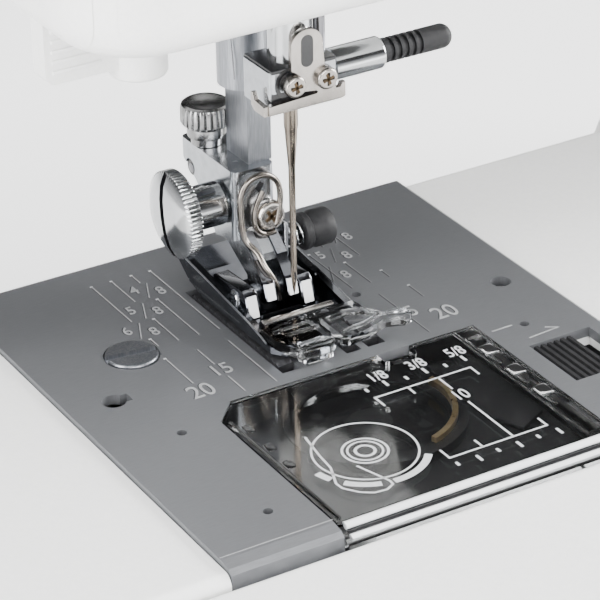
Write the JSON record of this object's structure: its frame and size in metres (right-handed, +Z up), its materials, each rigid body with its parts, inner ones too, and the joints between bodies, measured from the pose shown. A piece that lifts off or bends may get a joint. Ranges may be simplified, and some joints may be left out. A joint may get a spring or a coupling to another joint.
{
  "type": "sewing machine",
  "caption": "Free-arm domestic sewing machine with drop-in bobbin, clear hook cover, clip-on presser foot, needle threader and slide-off accessory tray.",
  "frame": {"origin": "middle of the footprint, on the surface the machine stands on", "axes": "+X to the operator's right along the arm, +Y to the back, +Z up; the operator faces +Y"},
  "size_m": [0.44, 0.184, 0.292],
  "materials": {
    "white_shell": "semi-gloss moulded plastic, off-white",
    "plate_steel": "fine satin, grey",
    "chrome": "polished",
    "satin_steel": "satin ground",
    "nickel": "nickel-plated sheet",
    "cast_alloy": "as cast",
    "bronze": "sintered",
    "black_plastic": "matte black",
    "black_gloss": "gloss black",
    "clear_plastic": "clear, polished",
    "rubber": "soft",
    "dark_steel": "blackened",
    "grey_plastic": "fine texture"
  },
  "bodies": {
    "frame": {"base_pan": "grey_plastic", "rubber_feet": "rubber", "bed_casing": "white_shell", "front_cover": "white_shell", "rear_cover": "white_shell", "face_cover": "white_shell", "needle_plate": "plate_steel", "plate_screw": "satin_steel", "main_frame": "cast_alloy", "shaft_bushings": "bronze", "drive_motor": "dark_steel", "drive_belts": "rubber", "bobbin_case": "black_plastic", "control_panel": "black_gloss", "spool_pin": "grey_plastic", "presser_spring": "satin_steel"},
    "drive_shaft": {"main_shaft": "satin_steel", "crank_disc": "cast_alloy", "handwheel": "white_shell", "upper_pulley": "grey_plastic"},
    "bar_link": {"needle_bar_link": "satin_steel"},
    "lower_drive": {"lower_shaft": "satin_steel", "lower_shaft_wheels": "grey_plastic"},
    "hook": {"rotary_hook": "dark_steel"},
    "rotor": {"motor_pulley": "satin_steel"},
    "needle_unit": {"needle_bar": "chrome", "needle_clamp": "chrome", "needle": "chrome", "threader_plate": "nickel", "clamp_fixings": "chrome"},
    "clamp_knob": {"clamp_screw": "chrome", "clamp_grip": "black_plastic"},
    "take_up": {"take_up_lever": "chrome"},
    "presser_unit": {"presser_bar": "satin_steel", "foot_holder": "chrome", "holder_screw": "chrome", "wire_guide": "nickel"},
    "thumbscrew": {"holder_thumbscrew": "chrome"},
    "top_knob": {"holder_knob": "chrome"},
    "foot_button": {"release_button": "black_gloss"},
    "foot": {"presser_foot": "chrome", "foot_toe": "clear_plastic", "foot_pin": "satin_steel"},
    "lifter": {"lifter_lever": "white_shell"},
    "threader": {"threader_lever": "white_shell"},
    "feed_lift": {"feed_carrier": "cast_alloy"},
    "feed": {"feed_dog": "dark_steel"},
    "bobbin": {"bobbin": "clear_plastic"},
    "hook_cover": {"bobbin_cover": "clear_plastic"},
    "latch": {"cover_latch": "black_plastic"},
    "lid": {"top_lid": "white_shell"},
    "handle": {"carry_handle": "white_shell"},
    "tray": {"accessory_tray": "white_shell"},
    "tray_door": {"tray_lid": "white_shell"},
    "start_key": {"start_button": "grey_plastic"},
    "reverse_key": {"reverse_button": "grey_plastic"},
    "speed": {"speed_slider": "grey_plastic"},
    "tension": {"tension_dial": "grey_plastic"},
    "power": {"power_switch": "black_plastic"},
    "winder": {"bobbin_winder": "grey_plastic"}
  },
  "joints": [
    {"name": "handwheel_turn", "type": "hinge", "parent": "frame", "child": "drive_shaft", "pos_m": [0.064, 0.006, 0.225], "axis": [1, 0, 0], "continuous": true},
    {"name": "link_turn", "type": "hinge", "parent": "drive_shaft", "child": "bar_link", "pos_m": [-0.078, -0.00839, 0.232], "axis": [1, 0, 0], "continuous": true},
    {"name": "lower_shaft_turn", "type": "hinge", "parent": "frame", "child": "lower_drive", "pos_m": [0.064, 0, 0.046], "axis": [1, 0, 0], "continuous": true},
    {"name": "hook_turn", "type": "hinge", "parent": "frame", "child": "hook", "pos_m": [-0.0874, -0.0162, 0.054], "axis": [0, 0, 1], "continuous": true},
    {"name": "motor_turn", "type": "hinge", "parent": "frame", "child": "rotor", "pos_m": [0.154, 0.038, 0.128], "axis": [1, 0, 0], "continuous": true},
    {"name": "needle_bar_slide", "type": "slide", "parent": "frame", "child": "needle_unit", "axis": [0, 0, 1], "range_m": [-0.023, 0.009]},
    {"name": "clamp_screw_turn", "type": "hinge", "parent": "needle_unit", "child": "clamp_knob", "pos_m": [-0.076, 0.006, 0.1226], "axis": [1, 0, 0], "range_deg": [0, 270]},
    {"name": "take_up_swing", "type": "hinge", "parent": "frame", "child": "take_up", "pos_m": [-0.0984, 0.004, 0.212], "axis": [-1, 0, 0], "range_deg": [-40, 16]},
    {"name": "presser_lift", "type": "slide", "parent": "frame", "child": "presser_unit", "axis": [0, 0, 1], "range_m": [0, 0.006], "deforming": ["presser_spring"]},
    {"name": "lifter_swing", "type": "hinge", "parent": "frame", "child": "lifter", "pos_m": [-0.07, 0.066, 0.176], "axis": [0, -1, 0], "range_deg": [0, 60]},
    {"name": "thumbscrew_turn", "type": "hinge", "parent": "presser_unit", "child": "thumbscrew", "pos_m": [-0.096, 0.019, 0.0992], "axis": [1, 0, 0], "range_deg": [0, 270]},
    {"name": "top_knob_turn", "type": "hinge", "parent": "presser_unit", "child": "top_knob", "pos_m": [-0.0882, 0.0261, 0.11], "axis": [0, 0, 1], "range_deg": [0, 270]},
    {"name": "foot_release", "type": "slide", "parent": "presser_unit", "child": "foot_button", "axis": [-1, 0, 0], "range_m": [0, 0.0015], "stiffness_N_per_m": 400, "springref_m": -0.001},
    {"name": "foot_pitch", "type": "hinge", "parent": "presser_unit", "child": "foot", "pos_m": [-0.086, 0.011, 0.0885], "axis": [-1, 0, 0], "range_deg": [-1.2, 2.4]},
    {"name": "threader_pull", "type": "slide", "parent": "frame", "child": "threader", "axis": [0, 0, 1], "range_m": [-0.022, 0], "stiffness_N_per_m": 20, "springref_m": 0.02},
    {"name": "feed_rise", "type": "slide", "parent": "frame", "child": "feed_lift", "axis": [0, 0, 1], "range_m": [-0.0015, 0]},
    {"name": "feed_stroke", "type": "slide", "parent": "feed_lift", "child": "feed", "axis": [0, 1, 0], "range_m": [-0.0012, 0.0012]},
    {"name": "bobbin_spin", "type": "hinge", "parent": "frame", "child": "bobbin", "pos_m": [-0.0874, -0.0162, 0.074], "axis": [0, 0, 1], "continuous": true},
    {"name": "cover_lift", "type": "slide", "parent": "frame", "child": "hook_cover", "axis": [0, 0, 1], "range_m": [0, 0.03]},
    {"name": "latch_slide", "type": "slide", "parent": "frame", "child": "latch", "axis": [1, 0, 0], "range_m": [0, 0.003], "stiffness_N_per_m": 300, "springref_m": -0.001},
    {"name": "lid_swing", "type": "hinge", "parent": "frame", "child": "lid", "pos_m": [0.004, 0.0407, 0.2773], "axis": [-1, 0, 0], "range_deg": [0, 80]},
    {"name": "handle_swing", "type": "hinge", "parent": "frame", "child": "handle", "pos_m": [0.047, 0.0515, 0.2845], "axis": [1, 0, 0], "range_deg": [0, 90]},
    {"name": "tray_pull", "type": "slide", "parent": "frame", "child": "tray", "axis": [-1, 0, 0], "range_m": [0, 0.12]},
    {"name": "tray_door_swing", "type": "hinge", "parent": "tray", "child": "tray_door", "pos_m": [-0.211, -0.026, 0.0802], "axis": [0, -1, 0], "range_deg": [0, 95]},
    {"name": "start_press", "type": "slide", "parent": "frame", "child": "start_key", "axis": [0, 1, 0], "range_m": [0, 0.0014], "stiffness_N_per_m": 400, "springref_m": -0.001},
    {"name": "reverse_press", "type": "slide", "parent": "frame", "child": "reverse_key", "axis": [0, 1, 0], "range_m": [0, 0.0014], "stiffness_N_per_m": 400, "springref_m": -0.001},
    {"name": "speed_shift", "type": "slide", "parent": "frame", "child": "speed", "axis": [1, 0, 0], "range_m": [-0.012, 0.018]},
    {"name": "tension_turn", "type": "hinge", "parent": "frame", "child": "tension", "pos_m": [-0.059, -0.0175, 0.232], "axis": [1, 0, 0], "range_deg": [-120, 120]},
    {"name": "power_rock", "type": "hinge", "parent": "frame", "child": "power", "pos_m": [0.2025, 0.045, 0.043], "axis": [0, 0, 1], "range_deg": [0, 7]},
    {"name": "winder_shift", "type": "slide", "parent": "frame", "child": "winder", "axis": [1, 0, 0], "range_m": [0, 0.006]}
  ],
  "couplings": [
    {"joint": "link_turn", "follows": "handwheel_turn", "ratio": -1},
    {"joint": "lower_shaft_turn", "follows": "handwheel_turn", "ratio": 1},
    {"joint": "hook_turn", "follows": "handwheel_turn", "ratio": -2},
    {"joint": "motor_turn", "follows": "handwheel_turn", "ratio": 4.8},
    {"joint": "take_up_swing", "follows": "needle_bar_slide", "rad_per_m": 30},
    {"joint": "lifter_swing", "follows": "presser_lift", "rad_per_m": 174}
  ]
}
